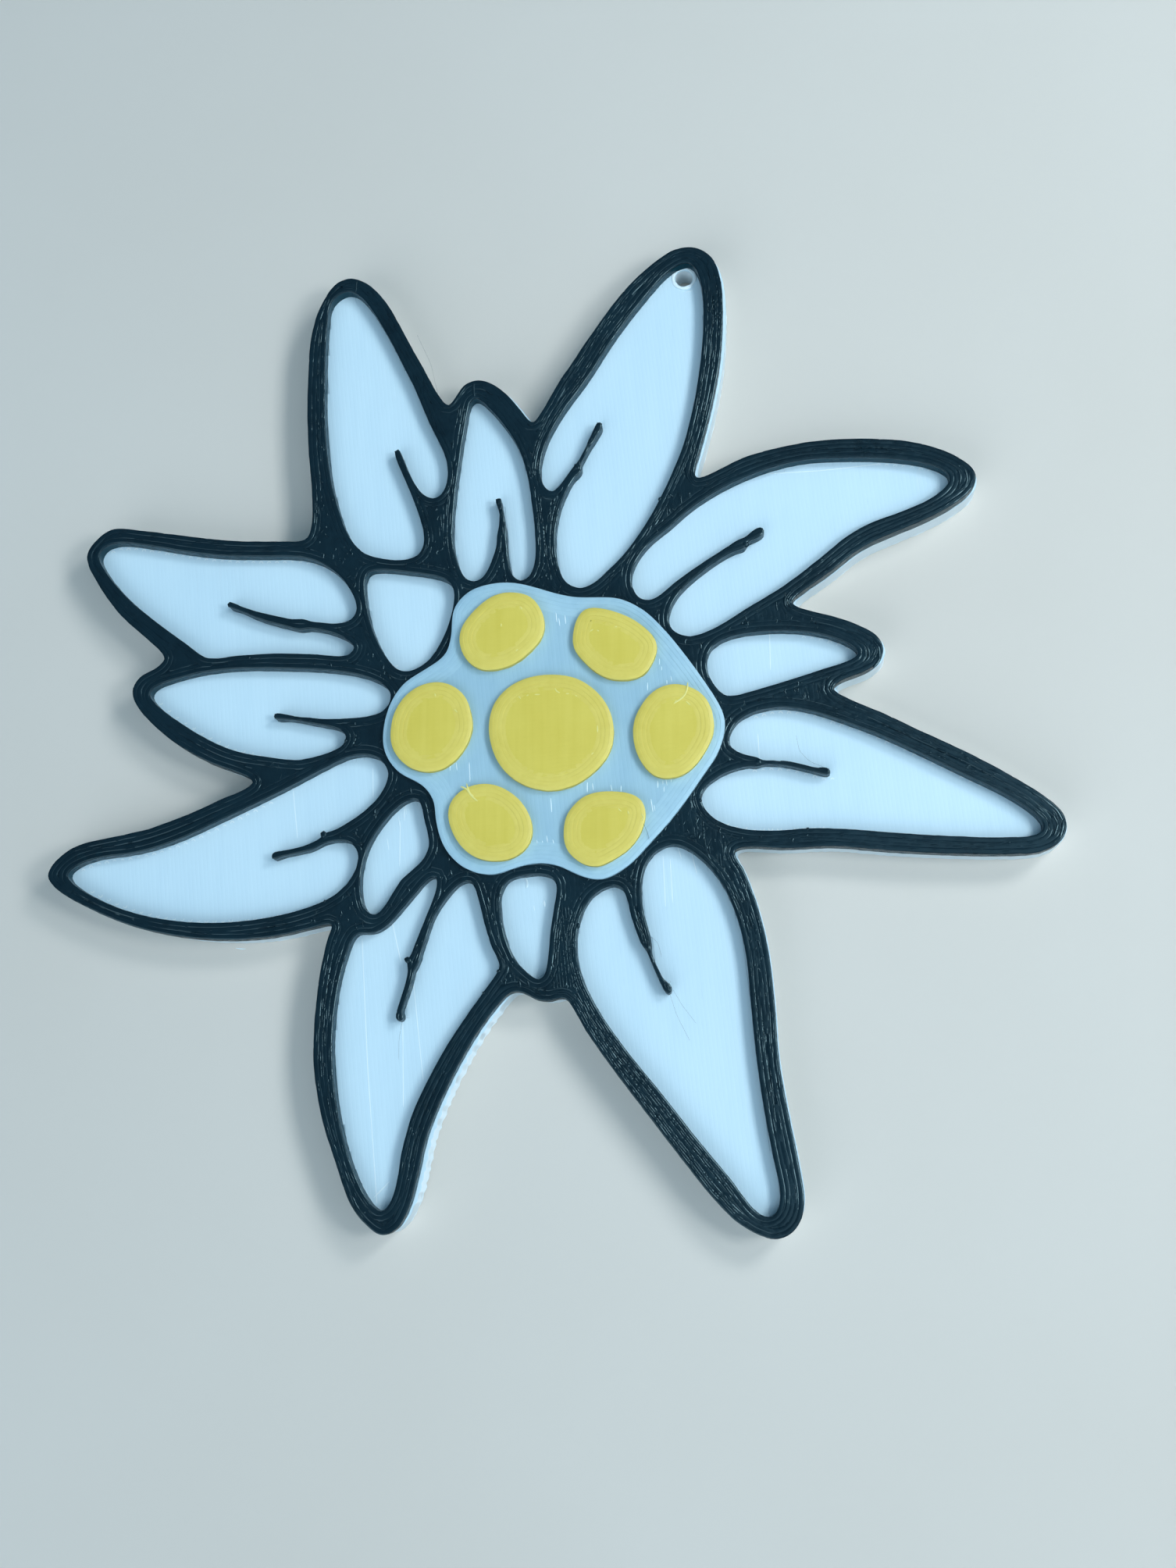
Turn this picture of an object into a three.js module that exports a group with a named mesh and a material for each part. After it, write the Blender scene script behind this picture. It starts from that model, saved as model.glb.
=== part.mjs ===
import * as THREE from 'three';

// Flat edelweiss ornament, printed lying down and built up in four stacked colours:
// a white base plate with the flower's full outline, a black drawing layer that leaves the
// petals open, a thin white disc on the solid black middle, and seven yellow florets.
// Millimetres, +Z up, the back of the plate on z = 0, the upper petals towards +Y.

const baseThickness = 2.8;
const drawingThickness = 1.4;
const discThickness = 0.6;
const floretThickness = 0.8;

const baseShift = { x: 0.28, y: 0.18 }; // the colours were laid down slightly out of register
const hangerHole = { x: 14.42, y: 47.1, radius: 0.95, sides: 28 };
const stepLength = 1.5; // longest straight step along a curved edge

// Outer edge of the drawing, clockwise from the notch left of the upper left petal.
const silhouette = [
  // upper left petal
  [-24.7, 19.4], [-24.2, 20.6], [-24.2, 24.0], [-24.8, 30.0], [-25.0, 37.0], [-24.7, 42.5], [-23.6, 45.9],
  [-22.2, 47.8], [-20.7, 48.3], [-18.9, 47.6], [-16.9, 45.4], [-14.2, 40.4], [-12.6, 37.4], [-11.0, 34.4],
  [-10.1, 33.4],
  // small upper petal
  [-9.3, 34.4], [-8.5, 35.6], [-7.2, 36.1], [-5.6, 35.7], [-4.0, 34.4], [-2.4, 32.4],
  [-1.3, 31.1],
  // upper right petal
  [-0.5, 32.1], [1.2, 35.1], [3.4, 38.5], [6.3, 42.8], [9.3, 46.5], [12.3, 49.0], [14.2, 49.9], [16.0, 49.7],
  [17.5, 48.5], [18.3, 45.8], [18.4, 42.0], [18.0, 36.9], [17.0, 31.8], [15.8, 27.3], [15.2, 25.1],
  [15.5, 24.4],
  // right upper petal
  [17.2, 25.0], [20.2, 26.4], [24.0, 27.4], [28.6, 27.95], [33.0, 27.9], [37.0, 27.4], [40.0, 26.4],
  [42.2, 25.1], [43.2, 23.8], [42.9, 22.3], [41.0, 20.7], [38.2, 19.2], [34.7, 17.8], [31.7, 16.45],
  [28.5, 14.0], [25.6, 12.0],
  [24.6, 11.0],
  // small right petal
  [25.7, 10.3], [28.5, 9.5], [31.0, 8.5], [32.8, 7.4], [33.5, 6.1], [33.1, 4.8], [31.6, 3.7], [29.3, 2.9],
  [28.4, 2.1],
  // right lower petal
  [29.4, 1.3], [33.1, -0.5], [37.1, -2.6], [41.0, -4.6], [44.9, -6.9], [48.0, -9.0], [49.7, -10.6],
  [50.1, -12.1], [49.5, -13.5], [47.6, -14.5], [44.0, -14.7], [38.5, -14.5], [33.0, -14.1], [28.1, -13.6],
  [23.1, -13.7], [19.5, -13.5],
  [18.4, -13.9],
  // lower right petal
  [19.3, -15.6], [20.6, -19.3], [21.5, -23.4], [22.0, -28.5], [22.3, -34.0], [23.0, -38.6], [23.9, -43.6],
  [24.3, -47.0], [23.8, -48.9], [22.5, -50.1], [21.0, -50.25], [18.4, -49.0], [16.1, -46.85],
  [12.95, -42.95], [9.65, -38.65], [6.45, -34.45], [3.9, -30.8], [2.6, -28.5],
  [1.9, -27.8],
  // small lower petal
  [0.7, -28.1], [-0.7, -28.0], [-2.0, -27.3],
  [-3.2, -27.2],
  // lower left petal
  [-4.4, -28.3], [-6.3, -30.8], [-8.2, -34.0], [-9.9, -37.4], [-11.3, -41.0], [-12.0, -44.2], [-12.8, -47.3],
  [-13.8, -49.2], [-15.2, -50.0], [-16.6, -49.3], [-18.3, -47.4], [-20.1, -43.0], [-21.6, -38.5],
  [-22.4, -34.0], [-22.4, -29.5], [-22.0, -25.0], [-21.3, -21.6],
  [-20.9, -20.4],
  // left lower petal
  [-22.5, -20.6], [-26.8, -21.5], [-31.5, -21.75], [-36.5, -21.3], [-41.5, -20.1], [-46.0, -18.2],
  [-49.2, -16.3], [-50.1, -15.0], [-49.4, -13.6], [-47.4, -12.1], [-43.7, -11.25], [-40.0, -10.5],
  [-36.0, -9.1], [-32.5, -7.6], [-30.3, -6.7],
  [-29.3, -5.9],
  // left middle petal
  [-30.8, -5.0], [-33.5, -4.0], [-37.0, -2.1], [-40.0, 0.3], [-41.9, 2.5], [-42.3, 4.1], [-41.3, 5.5],
  [-39.7, 6.3],
  [-39.0, 7.2],
  // left upper petal
  [-41.0, 9.3], [-44.0, 12.0], [-46.7, 15.7], [-47.9, 18.2], [-47.3, 19.8], [-45.3, 21.3], [-42.0, 21.0],
  [-37.0, 20.2], [-32.0, 19.5], [-28.0, 19.35],
];

// Openings of the drawing over the white plate. A petal's vein is the notch that runs into it.
const petalWindows = [
  // upper left petal
  [
    [-21.2, 46.85], [-20.0, 46.5], [-18.6, 44.9], [-16.8, 41.9], [-15.2, 38.7], [-13.6, 35.4], [-12.2, 31.9],
    [-11.0, 29.4], [-10.2, 27.4], [-10.1, 25.2], [-10.7, 23.7], [-11.6, 23.3], [-12.8, 24.0], [-14.1, 26.2],
    [-14.95, 28.35], [-15.2, 28.85], [-15.5, 28.9], [-15.68, 28.5], [-14.9, 26.4], [-13.8, 23.8],
    [-12.8, 21.0],
    [-12.4, 19.0], [-12.8, 17.5], [-14.3, 16.85], [-16.5, 17.0], [-18.6, 17.7], [-20.2, 19.5],
    [-21.3, 22.2], [-22.3, 26.0], [-23.0, 31.5], [-23.2, 37.0], [-23.15, 42.5], [-22.7, 45.8],
  ],
  // small upper petal
  [
    [-7.2, 34.2], [-6.0, 33.2], [-4.3, 31.1], [-2.9, 28.8], [-1.9, 25.8], [-1.35, 22.4], [-1.0, 18.9],
    [-1.05, 15.9], [-1.7, 14.5], [-2.5, 14.2], [-3.3, 14.8], [-3.7, 16.4], [-3.9, 18.4], [-4.0, 19.8],
    [-4.2, 21.0], [-4.42, 22.3], [-4.52, 23.0], [-4.8, 23.25], [-5.08, 22.95], [-4.95, 22.35],
    [-4.7, 21.7], [-4.65, 20.9], [-4.75, 19.9], [-4.92, 19.0], [-4.95, 18.0], [-5.5, 16.1], [-6.3, 14.7],
    [-7.2, 14.3], [-8.1, 14.65], [-8.9, 16.2], [-9.4, 18.3], [-9.45, 21.0], [-9.1, 25.0], [-8.6, 29.0],
    [-8.1, 32.3], [-7.8, 33.7],
  ],
  // upper right petal
  [
    [14.8, 48.2], [15.7, 47.5], [16.3, 45.2], [16.4, 41.5], [16.1, 37.6], [15.4, 33.1], [14.2, 28.2],
    [12.5, 24.0], [10.4, 20.0], [8.1, 16.7], [6.4, 15.0], [5.0, 13.7], [3.55, 13.2], [2.1, 13.9],
    [1.3, 15.8], [1.05, 18.4], [1.4, 21.3], [2.1, 23.3], [3.0, 25.0], [3.7, 25.6], [3.8, 26.0],
    [3.65, 26.45], [4.0, 27.05], [4.45, 28.0], [5.1, 29.0], [5.65, 29.95], [5.93, 30.5], [5.8, 30.95],
    [5.45, 31.0], [5.15, 30.5], [4.9, 29.9], [4.5, 29.0], [4.0, 27.9], [3.5, 26.95], [3.1, 26.4],
    [2.7, 25.9], [1.5, 24.2], [0.65, 23.55], [-0.2, 24.4],
    [-0.5, 26.2], [0.1, 28.9], [1.9, 32.3], [4.4, 35.8], [7.3, 40.4], [10.3, 44.4], [13.0, 47.4],
  ],
  // right upper petal
  [
    [10.3, 11.7], [9.3, 12.2], [8.7, 13.7], [9.1, 15.6], [10.6, 17.7], [12.6, 19.3], [14.9, 21.3],
    [17.9, 23.2], [21.8, 24.9], [26.0, 25.9], [30.5, 26.0], [35.0, 25.7], [38.5, 25.0], [40.5, 23.9],
    [40.6, 23.0], [39.0, 21.5], [36.0, 20.15], [32.4, 18.85], [30.2, 17.6], [27.2, 15.2], [24.0, 12.8],
    [20.3, 10.6], [17.0, 8.6], [14.5, 7.8], [12.8, 8.5], [12.4, 10.0], [13.3, 12.1], [15.6, 14.3],
    [18.5, 16.25], [19.7, 16.72], [20.25, 16.85], [20.35, 17.4], [20.9, 17.65], [21.5, 17.87],
    [22.1, 18.35], [22.15, 18.75], [21.8, 19.0], [21.3, 18.85], [20.8, 18.5], [20.2, 17.95],
    [19.6, 17.78], [19.0, 17.4], [15.7, 15.3], [13.0, 13.4], [11.3, 12.0],
  ],
  // small right petal
  [
    [16.1, 5.0], [16.6, 6.6], [18.6, 7.7], [21.5, 8.1], [25.0, 8.05], [28.2, 7.4], [30.3, 6.4],
    [31.05, 5.6], [30.5, 5.05], [27.5, 4.05], [23.5, 2.85], [20.0, 1.9], [18.1, 1.6], [17.1, 2.4],
    [16.3, 3.8],
  ],
  // right lower petal
  [
    [18.15, -2.9], [18.6, -1.5], [19.7, -0.5], [21.7, 0.2], [23.7, 0.35], [26.3, -0.15], [29.2, -1.2],
    [33.1, -2.85], [37.0, -4.85], [41.0, -7.0], [44.5, -8.9], [47.1, -10.8], [47.95, -12.0],
    [47.3, -12.85], [44.5, -13.05], [39.5, -12.85], [34.0, -12.4], [29.0, -11.9], [25.5, -11.8],
    [22.5, -11.95], [19.5, -11.75], [17.0, -10.9], [15.6, -9.5], [15.35, -8.2], [16.4, -6.9],
    [18.6, -5.8], [20.4, -5.5], [20.9, -5.65], [21.25, -5.4], [22.2, -5.38], [23.5, -5.5],
    [25.0, -5.85], [26.6, -6.3], [27.5, -6.58], [28.0, -6.45], [27.95, -6.05], [27.4, -5.78],
    [26.6, -5.85], [25.6, -5.57], [24.2, -5.18], [22.6, -5.0], [21.3, -4.92], [21.0, -4.65],
    [20.2, -4.5], [19.3, -4.2], [18.4, -3.6],
  ],
  // lower right petal
  [
    [6.7, -17.0], [7.8, -17.6], [8.4, -20.0], [9.1, -22.0], [9.4, -22.8], [9.8, -23.3],
    [10.05, -23.75], [10.5, -25.0], [11.05, -26.2], [11.5, -27.2], [11.95, -27.7], [12.3, -27.2],
    [12.1, -26.6], [11.6, -26.3], [11.15, -25.5], [10.65, -24.4], [10.35, -23.6], [10.38, -22.8],
    [10.1, -21.4], [9.6, -19.6], [9.45, -17.4], [9.7, -15.5], [10.7, -13.9], [12.4, -13.1], [14.0, -13.6],
    [15.9, -15.2], [17.5, -17.5], [18.7, -20.6], [19.4, -24.0], [19.75, -28.5], [20.1, -33.0],
    [20.7, -38.0], [21.5, -42.8], [22.1, -46.2], [21.7, -47.9], [20.8, -48.35], [19.4, -47.4],
    [17.7, -45.1], [14.6, -41.35], [11.2, -37.0], [7.5, -32.4], [5.0, -28.7], [3.5, -25.4],
    [3.1, -22.6], [3.5, -20.2], [4.6, -18.1],
  ],
  // small lower petal
  [
    [-1.5, -15.85], [0.4, -15.95], [1.2, -16.8], [1.0, -18.8], [0.6, -21.3], [0.35, -24.2],
    [0.0, -25.7], [-0.6, -26.05], [-1.6, -25.4], [-3.0, -23.9], [-3.9, -21.6], [-4.3, -19.3],
    [-4.25, -17.5], [-3.5, -16.3],
  ],
  // lower left petal
  [
    [-18.5, -21.35], [-17.0, -21.35], [-15.6, -20.7], [-14.2, -19.2], [-12.6, -17.3], [-11.4, -16.0],
    [-10.65, -15.85], [-10.7, -17.3], [-11.6, -19.7], [-12.7, -22.5], [-13.15, -23.65],
    [-13.5, -23.95], [-13.35, -24.6], [-13.35, -25.3], [-13.8, -27.2], [-14.3, -28.8],
    [-14.47, -29.5], [-14.15, -29.98], [-13.6, -29.6], [-13.85, -29.05], [-13.6, -28.2],
    [-13.15, -26.9], [-12.8, -25.6], [-12.72, -25.0], [-12.35, -24.5], [-12.0, -23.2],
    [-11.6, -22.0], [-10.9, -19.9], [-9.6, -17.9], [-8.3, -16.55], [-7.2, -16.4], [-6.5, -18.0],
    [-5.9, -20.4], [-5.1, -22.9], [-4.3, -24.7], [-5.2, -26.2], [-7.2, -28.95], [-9.3, -32.1],
    [-11.2, -35.5], [-12.8, -39.1], [-13.7, -42.6], [-14.1, -45.4], [-14.8, -47.2], [-15.6, -47.8],
    [-16.8, -46.7], [-18.3, -43.9], [-19.6, -39.8], [-20.45, -35.0], [-20.6, -30.5], [-20.2, -26.5],
    [-19.4, -23.3],
  ],
  // sliver between the two lower left petals
  [
    [-13.1, -8.0], [-12.4, -8.3], [-12.0, -10.0], [-11.4, -12.6], [-12.2, -14.4], [-14.1, -16.0],
    [-15.5, -18.3], [-16.6, -19.5], [-17.5, -19.2], [-18.1, -17.8], [-18.2, -15.5], [-17.6, -12.9],
    [-16.2, -10.5], [-14.4, -8.6],
  ],
  // left lower petal
  [
    [-48.1, -15.0], [-47.2, -14.1], [-45.0, -13.35], [-42.0, -13.0], [-39.5, -12.5], [-36.5, -11.5],
    [-33.0, -9.95], [-29.0, -8.1], [-25.5, -6.4], [-22.0, -4.6], [-19.9, -3.65], [-18.0, -3.4],
    [-16.4, -4.0], [-15.6, -5.4], [-16.2, -7.2], [-17.8, -9.0], [-20.0, -10.5], [-21.4, -11.15],
    [-21.95, -11.2], [-22.25, -11.7], [-23.2, -12.2], [-24.4, -12.65], [-25.8, -12.95],
    [-27.0, -13.05], [-27.25, -13.35], [-27.2, -13.85], [-26.8, -13.8], [-26.2, -13.55],
    [-24.4, -13.2], [-23.0, -12.85], [-22.1, -12.35], [-20.4, -12.05], [-19.1, -12.4], [-18.45, -13.7], [-19.0, -15.6], [-20.6, -17.4],
    [-23.2, -18.6], [-26.8, -19.5], [-30.5, -19.95], [-34.0, -20.0], [-38.0, -19.6], [-42.0, -18.6],
    [-45.5, -17.1], [-47.4, -15.9],
  ],
  // left middle petal
  [
    [-40.5, 3.4], [-40.0, 4.2], [-38.1, 4.9], [-35.0, 5.6], [-31.0, 5.9], [-26.5, 5.75], [-22.3, 5.45],
    [-19.0, 4.9], [-16.8, 4.05], [-15.6, 3.0], [-15.7, 1.7], [-16.8, 0.75], [-19.5, 0.4],
    [-22.0, 0.37], [-24.0, 0.55], [-25.8, 0.82], [-27.25, 1.15], [-27.62, 0.82], [-27.3, 0.48],
    [-26.2, 0.45], [-24.8, 0.25], [-23.4, -0.1], [-21.8, -0.42], [-20.5, -0.85], [-19.95, -1.6], [-20.6, -2.6], [-22.6, -3.35], [-24.7, -3.8], [-27.6, -3.45],
    [-31.3, -2.7], [-34.4, -1.3], [-37.2, 0.45], [-39.3, 2.0],
  ],
  // left upper petal
  [
    [-46.6, 18.5], [-46.0, 19.4], [-44.6, 19.8], [-41.0, 19.3], [-37.0, 18.5], [-33.0, 17.95],
    [-28.8, 17.75], [-25.3, 17.55], [-23.0, 16.8], [-21.1, 15.4], [-19.8, 13.6], [-19.2, 11.8],
    [-19.8, 10.65], [-21.5, 10.3], [-22.7, 10.45], [-24.0, 10.62], [-24.6, 10.88], [-25.9, 10.93],
    [-27.4, 11.28], [-29.2, 11.75], [-31.2, 12.4], [-32.3, 12.98], [-32.8, 12.85], [-32.6, 12.45],
    [-31.4, 12.05], [-30.0, 11.35], [-28.4, 10.72], [-26.4, 10.15], [-25.0, 9.75], [-24.3, 9.9],
    [-22.5, 9.6],
    [-20.5, 8.8], [-19.35, 7.8], [-20.0, 6.95], [-23.5, 7.15], [-28.0, 7.35], [-32.0, 7.2],
    [-34.6, 7.05], [-36.5, 8.4], [-40.0, 11.0], [-43.1, 13.6], [-45.2, 15.9], [-46.4, 17.7],
  ],
  // fan between the two upper left petals
  [
    [-18.0, 15.75], [-16.5, 15.85], [-13.9, 15.5], [-11.0, 14.95], [-9.6, 14.2], [-9.2, 12.9],
    [-9.6, 10.4], [-10.4, 8.2], [-11.7, 6.2], [-13.3, 5.2], [-14.4, 5.1], [-15.3, 5.6], [-16.8, 7.8],
    [-17.8, 10.3], [-18.3, 12.8], [-18.45, 15.0],
  ],
];

// The disc bulges around its florets.
const discEdge = [
  [-4.3, 13.9], [-2.0, 13.6], [0.7, 12.7], [3.0, 12.1], [5.6, 12.0], [7.6, 11.8], [10.0, 10.5],
  [12.2, 8.2], [14.3, 5.4], [16.4, 2.2], [17.6, 0.0], [17.85, -1.6], [17.2, -4.0], [15.5, -6.6],
  [12.9, -10.2], [10.3, -13.1], [8.1, -15.3], [5.7, -16.5], [3.6, -16.1], [1.6, -15.1], [-0.3, -14.75],
  [-2.2, -15.0], [-5.2, -15.85], [-8.0, -15.0], [-9.9, -12.9], [-10.7, -10.2], [-10.9, -8.4],
  [-12.0, -6.8], [-14.6, -5.3], [-15.9, -3.4], [-16.15, -1.5], [-15.6, 1.3], [-14.2, 3.6],
  [-11.6, 5.3], [-9.9, 6.6], [-9.35, 8.8], [-9.2, 11.2], [-7.6, 13.1],
];

const florets = {
  floret_centre: [
    [-5.4, -1.5], [-4.9, 1.1], [-3.4, 2.8], [-1.5, 3.7], [0.75, 3.95], [3.2, 3.55], [5.2, 2.2],
    [6.5, 0.4], [7.0, -1.9], [6.55, -4.2], [4.9, -6.15], [3.0, -7.35], [0.9, -7.8], [-1.3, -7.4],
    [-3.2, -6.3], [-4.6, -4.55],
  ],
  floret_upper_left: [
    [-8.45, 7.95], [-8.1, 9.3], [-6.95, 10.8], [-5.55, 12.0], [-4.15, 12.55], [-2.85, 12.55],
    [-1.4, 12.15], [-0.35, 10.95], [0.15, 9.4], [-0.1, 7.8], [-1.15, 6.5], [-2.6, 5.3], [-4.1, 4.7],
    [-5.95, 4.6], [-7.2, 5.2], [-8.1, 6.4],
  ],
  floret_upper_right: [
    [2.95, 7.75], [3.2, 9.1], [3.85, 10.35], [4.65, 10.7], [5.8, 10.6], [7.2, 10.2], [8.75, 9.5],
    [10.15, 8.45], [11.1, 7.35], [11.35, 6.5], [11.0, 5.15], [10.1, 3.75], [9.2, 3.3], [7.6, 3.15],
    [6.15, 3.5], [5.05, 4.2], [3.95, 5.3], [3.05, 6.55],
  ],
  floret_left: [
    [-15.2, -1.2], [-15.0, 0.1], [-14.35, 1.5], [-13.15, 2.75], [-11.7, 3.4], [-10.2, 3.5],
    [-8.8, 2.95], [-7.7, 1.85], [-7.2, 0.3], [-7.0, -0.9], [-7.25, -2.3], [-8.15, -3.95], [-9.5, -5.15],
    [-10.75, -5.6], [-12.35, -5.5], [-13.7, -4.8], [-14.7, -3.7], [-15.2, -2.4],
  ],
  floret_right: [
    [8.85, -2.3], [9.0, -0.9], [9.55, 0.3], [10.4, 1.5], [11.5, 2.3], [12.9, 2.65], [14.2, 2.4],
    [15.45, 1.75], [16.3, 0.7], [16.75, -0.9], [16.7, -2.55], [15.9, -4.2], [14.9, -5.6],
    [13.65, -6.55], [12.25, -6.85], [10.9, -6.55], [9.8, -5.4], [9.1, -3.9],
  ],
  floret_lower_left: [
    [-9.35, -9.6], [-9.0, -8.5], [-8.05, -7.55], [-6.7, -7.0], [-5.25, -6.95], [-3.8, -7.45],
    [-2.4, -8.5], [-1.45, -9.85], [-1.0, -11.45], [-1.25, -12.9], [-2.1, -13.9], [-3.2, -14.45],
    [-4.6, -14.65], [-6.3, -14.35], [-7.65, -13.5], [-8.55, -12.35], [-9.2, -10.9],
  ],
  floret_lower_right: [
    [2.05, -11.6], [2.25, -10.4], [2.95, -9.35], [4.05, -8.4], [5.45, -8.0], [7.1, -8.0],
    [8.6, -8.25], [9.65, -8.9], [10.05, -10.1], [9.85, -11.3], [9.3, -12.6], [8.15, -13.9],
    [6.7, -14.8], [5.45, -15.35], [4.2, -15.2], [2.95, -14.4], [2.15, -13.25],
  ],
};

const whitePlastic = { color: 0xe9f1f4, roughness: 0.45, metalness: 0 };
const blackPlastic = { color: 0x16191c, roughness: 0.32, metalness: 0 };
const yellowPlastic = { color: 0xe8cf4a, roughness: 0.45, metalness: 0 };

// Closed smooth curve through the knots, walked in straight steps that include every knot and
// turned to run counter-clockwise.
function smoothLoop(knots) {
  const curve = new THREE.CatmullRomCurve3(
    knots.map(([x, y]) => new THREE.Vector3(x, y, 0)), true, 'centripetal');
  const loop = [];
  knots.forEach(([x, y], i) => {
    const [nextX, nextY] = knots[(i + 1) % knots.length];
    const steps = Math.max(2, Math.ceil(Math.hypot(nextX - x, nextY - y) / stepLength));
    for (let k = 0; k < steps; k += 1) {
      const point = curve.getPoint((i + k / steps) / knots.length);
      loop.push(new THREE.Vector2(point.x, point.y));
    }
  });
  return THREE.ShapeUtils.isClockWise(loop) ? loop.reverse() : loop;
}

function moved(loop, { x, y }) {
  return loop.map((point) => new THREE.Vector2(point.x + x, point.y + y));
}

function circleLoop({ x, y, radius, sides }) {
  return Array.from({ length: sides }, (_, i) => {
    const angle = (2 * Math.PI * i) / sides;
    return new THREE.Vector2(x + radius * Math.cos(angle), y + radius * Math.sin(angle));
  });
}

function plate(name, loop, holes, bottom, thickness, look) {
  const shape = new THREE.Shape(loop);
  holes.forEach((hole) => shape.holes.push(new THREE.Path(hole)));
  const geometry = new THREE.ExtrudeGeometry(shape, { depth: thickness, steps: 1, bevelEnabled: false });
  const mesh = new THREE.Mesh(geometry, new THREE.MeshStandardMaterial(look));
  mesh.name = name;
  mesh.position.z = bottom;
  return mesh;
}

const drawingBottom = baseThickness;
const discBottom = drawingBottom + drawingThickness;
const floretBottom = discBottom + discThickness;

const ornament = new THREE.Group();
const outline = smoothLoop(silhouette);

ornament.add(plate(
  'base_plate', moved(outline, baseShift), [circleLoop(hangerHole)], 0, baseThickness, whitePlastic));
ornament.add(plate(
  'black_drawing', outline, petalWindows.map(smoothLoop), drawingBottom, drawingThickness, blackPlastic));
ornament.add(plate(
  'centre_disc', smoothLoop(discEdge), [], discBottom, discThickness, whitePlastic));
Object.entries(florets).forEach(([name, knots]) => {
  ornament.add(plate(name, smoothLoop(knots), [], floretBottom, floretThickness, yellowPlastic));
});

export default ornament;
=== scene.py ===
import math
import random

import bmesh
import bpy
import numpy as np
from mathutils import Matrix, Vector, kdtree


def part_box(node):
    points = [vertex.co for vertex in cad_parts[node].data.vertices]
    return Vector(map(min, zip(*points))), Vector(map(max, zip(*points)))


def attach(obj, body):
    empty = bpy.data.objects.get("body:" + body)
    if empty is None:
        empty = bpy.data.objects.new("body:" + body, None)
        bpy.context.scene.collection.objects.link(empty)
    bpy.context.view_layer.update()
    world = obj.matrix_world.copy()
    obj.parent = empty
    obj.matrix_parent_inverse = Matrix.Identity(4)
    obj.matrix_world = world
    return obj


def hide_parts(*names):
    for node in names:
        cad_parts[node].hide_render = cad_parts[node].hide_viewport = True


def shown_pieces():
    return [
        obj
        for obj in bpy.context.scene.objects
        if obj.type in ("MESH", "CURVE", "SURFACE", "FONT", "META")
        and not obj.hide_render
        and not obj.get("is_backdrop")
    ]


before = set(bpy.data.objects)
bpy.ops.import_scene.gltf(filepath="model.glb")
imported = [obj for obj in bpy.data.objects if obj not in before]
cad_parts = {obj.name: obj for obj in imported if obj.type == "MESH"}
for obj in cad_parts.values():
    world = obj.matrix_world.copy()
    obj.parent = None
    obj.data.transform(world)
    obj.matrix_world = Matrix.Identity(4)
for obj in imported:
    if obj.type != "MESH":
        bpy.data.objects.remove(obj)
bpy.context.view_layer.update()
print("frame loaded:", ", ".join(sorted(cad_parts)))

mm = 0.001
dice = random.Random(11)
body = "root"

# the top lines of the white layers run a little left of +Y, the florets' lines across them
rasterTurn = math.radians(6.1)
lineAlong = np.array([-math.sin(rasterTurn), math.cos(rasterTurn)])
lineAcross = np.array([math.cos(rasterTurn), math.sin(rasterTurn)])
layer = 0.2  # printed layer height, mm


def signedArea(loop):
    x, y = loop[:, 0], loop[:, 1]
    return 0.5 * float(np.sum(x * np.roll(y, -1) - np.roll(x, -1) * y))


def rimLoops(nodeName):
    # closed outlines of a flat node's top face in mm, the outer one first, material on the left
    bm = bmesh.new()
    bm.from_mesh(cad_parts[nodeName].data)
    bmesh.ops.remove_doubles(bm, verts=bm.verts, dist=1e-6)
    bm.normal_update()
    bm.verts.index_update()
    bm.verts.ensure_lookup_table()
    top = max(v.co.z for v in bm.verts)
    neighbours = {}
    for edge in bm.edges:
        caps = [f for f in edge.link_faces if abs(f.normal.z) > 0.5]
        if len(caps) == 1 and all(abs(v.co.z - top) < 1e-6 for v in edge.verts):
            a, b = (v.index for v in edge.verts)
            neighbours.setdefault(a, []).append(b)
            neighbours.setdefault(b, []).append(a)
    loops, seen = [], set()
    for start in neighbours:
        if start in seen:
            continue
        walk, here = [start], start
        seen.add(start)
        while True:
            ahead = [n for n in neighbours[here] if n not in seen]
            if not ahead:
                break
            here = ahead[0]
            seen.add(here)
            walk.append(here)
        loops.append(np.array([[bm.verts[i].co.x / mm, bm.verts[i].co.y / mm] for i in walk]))
    bm.free()
    loops.sort(key=lambda loop: -abs(signedArea(loop)))
    turned = []
    for i, loop in enumerate(loops):
        wantPositive = i == 0
        turned.append(loop if (signedArea(loop) > 0) == wantPositive else loop[::-1])
    return turned


def resampled(loop, step, rounds=2):
    closed = np.vstack([loop, loop[:1]])
    along = np.concatenate([[0], np.cumsum(np.hypot(*np.diff(closed, axis=0).T))])
    count = max(10, round(along[-1] / step))
    at = np.linspace(0, along[-1], count, endpoint=False)
    points = np.stack([np.interp(at, along, closed[:, k]) for k in (0, 1)], 1)
    for _ in range(rounds):
        points = (np.roll(points, 1, 0) + 2 * points + np.roll(points, -1, 0)) / 4
    return points


def inwards(points):
    along = np.roll(points, -1, 0) - np.roll(points, 1, 0)
    along /= np.maximum(np.hypot(along[:, 0], along[:, 1]), 1e-9)[:, None]
    return np.stack([-along[:, 1], along[:, 0]], 1)


def ripple(count, waves, seed):
    # smooth closed random curve of about unit height
    rng = np.random.default_rng(seed)
    at = np.arange(count) / count
    total = np.zeros(count)
    for _ in range(9):
        turns = max(1, int(waves * rng.uniform(0.4, 1.8)))
        total += rng.uniform(0.3, 1) * np.sin(2 * math.pi * (turns * at + rng.uniform()))
    return total / 2.2


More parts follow.
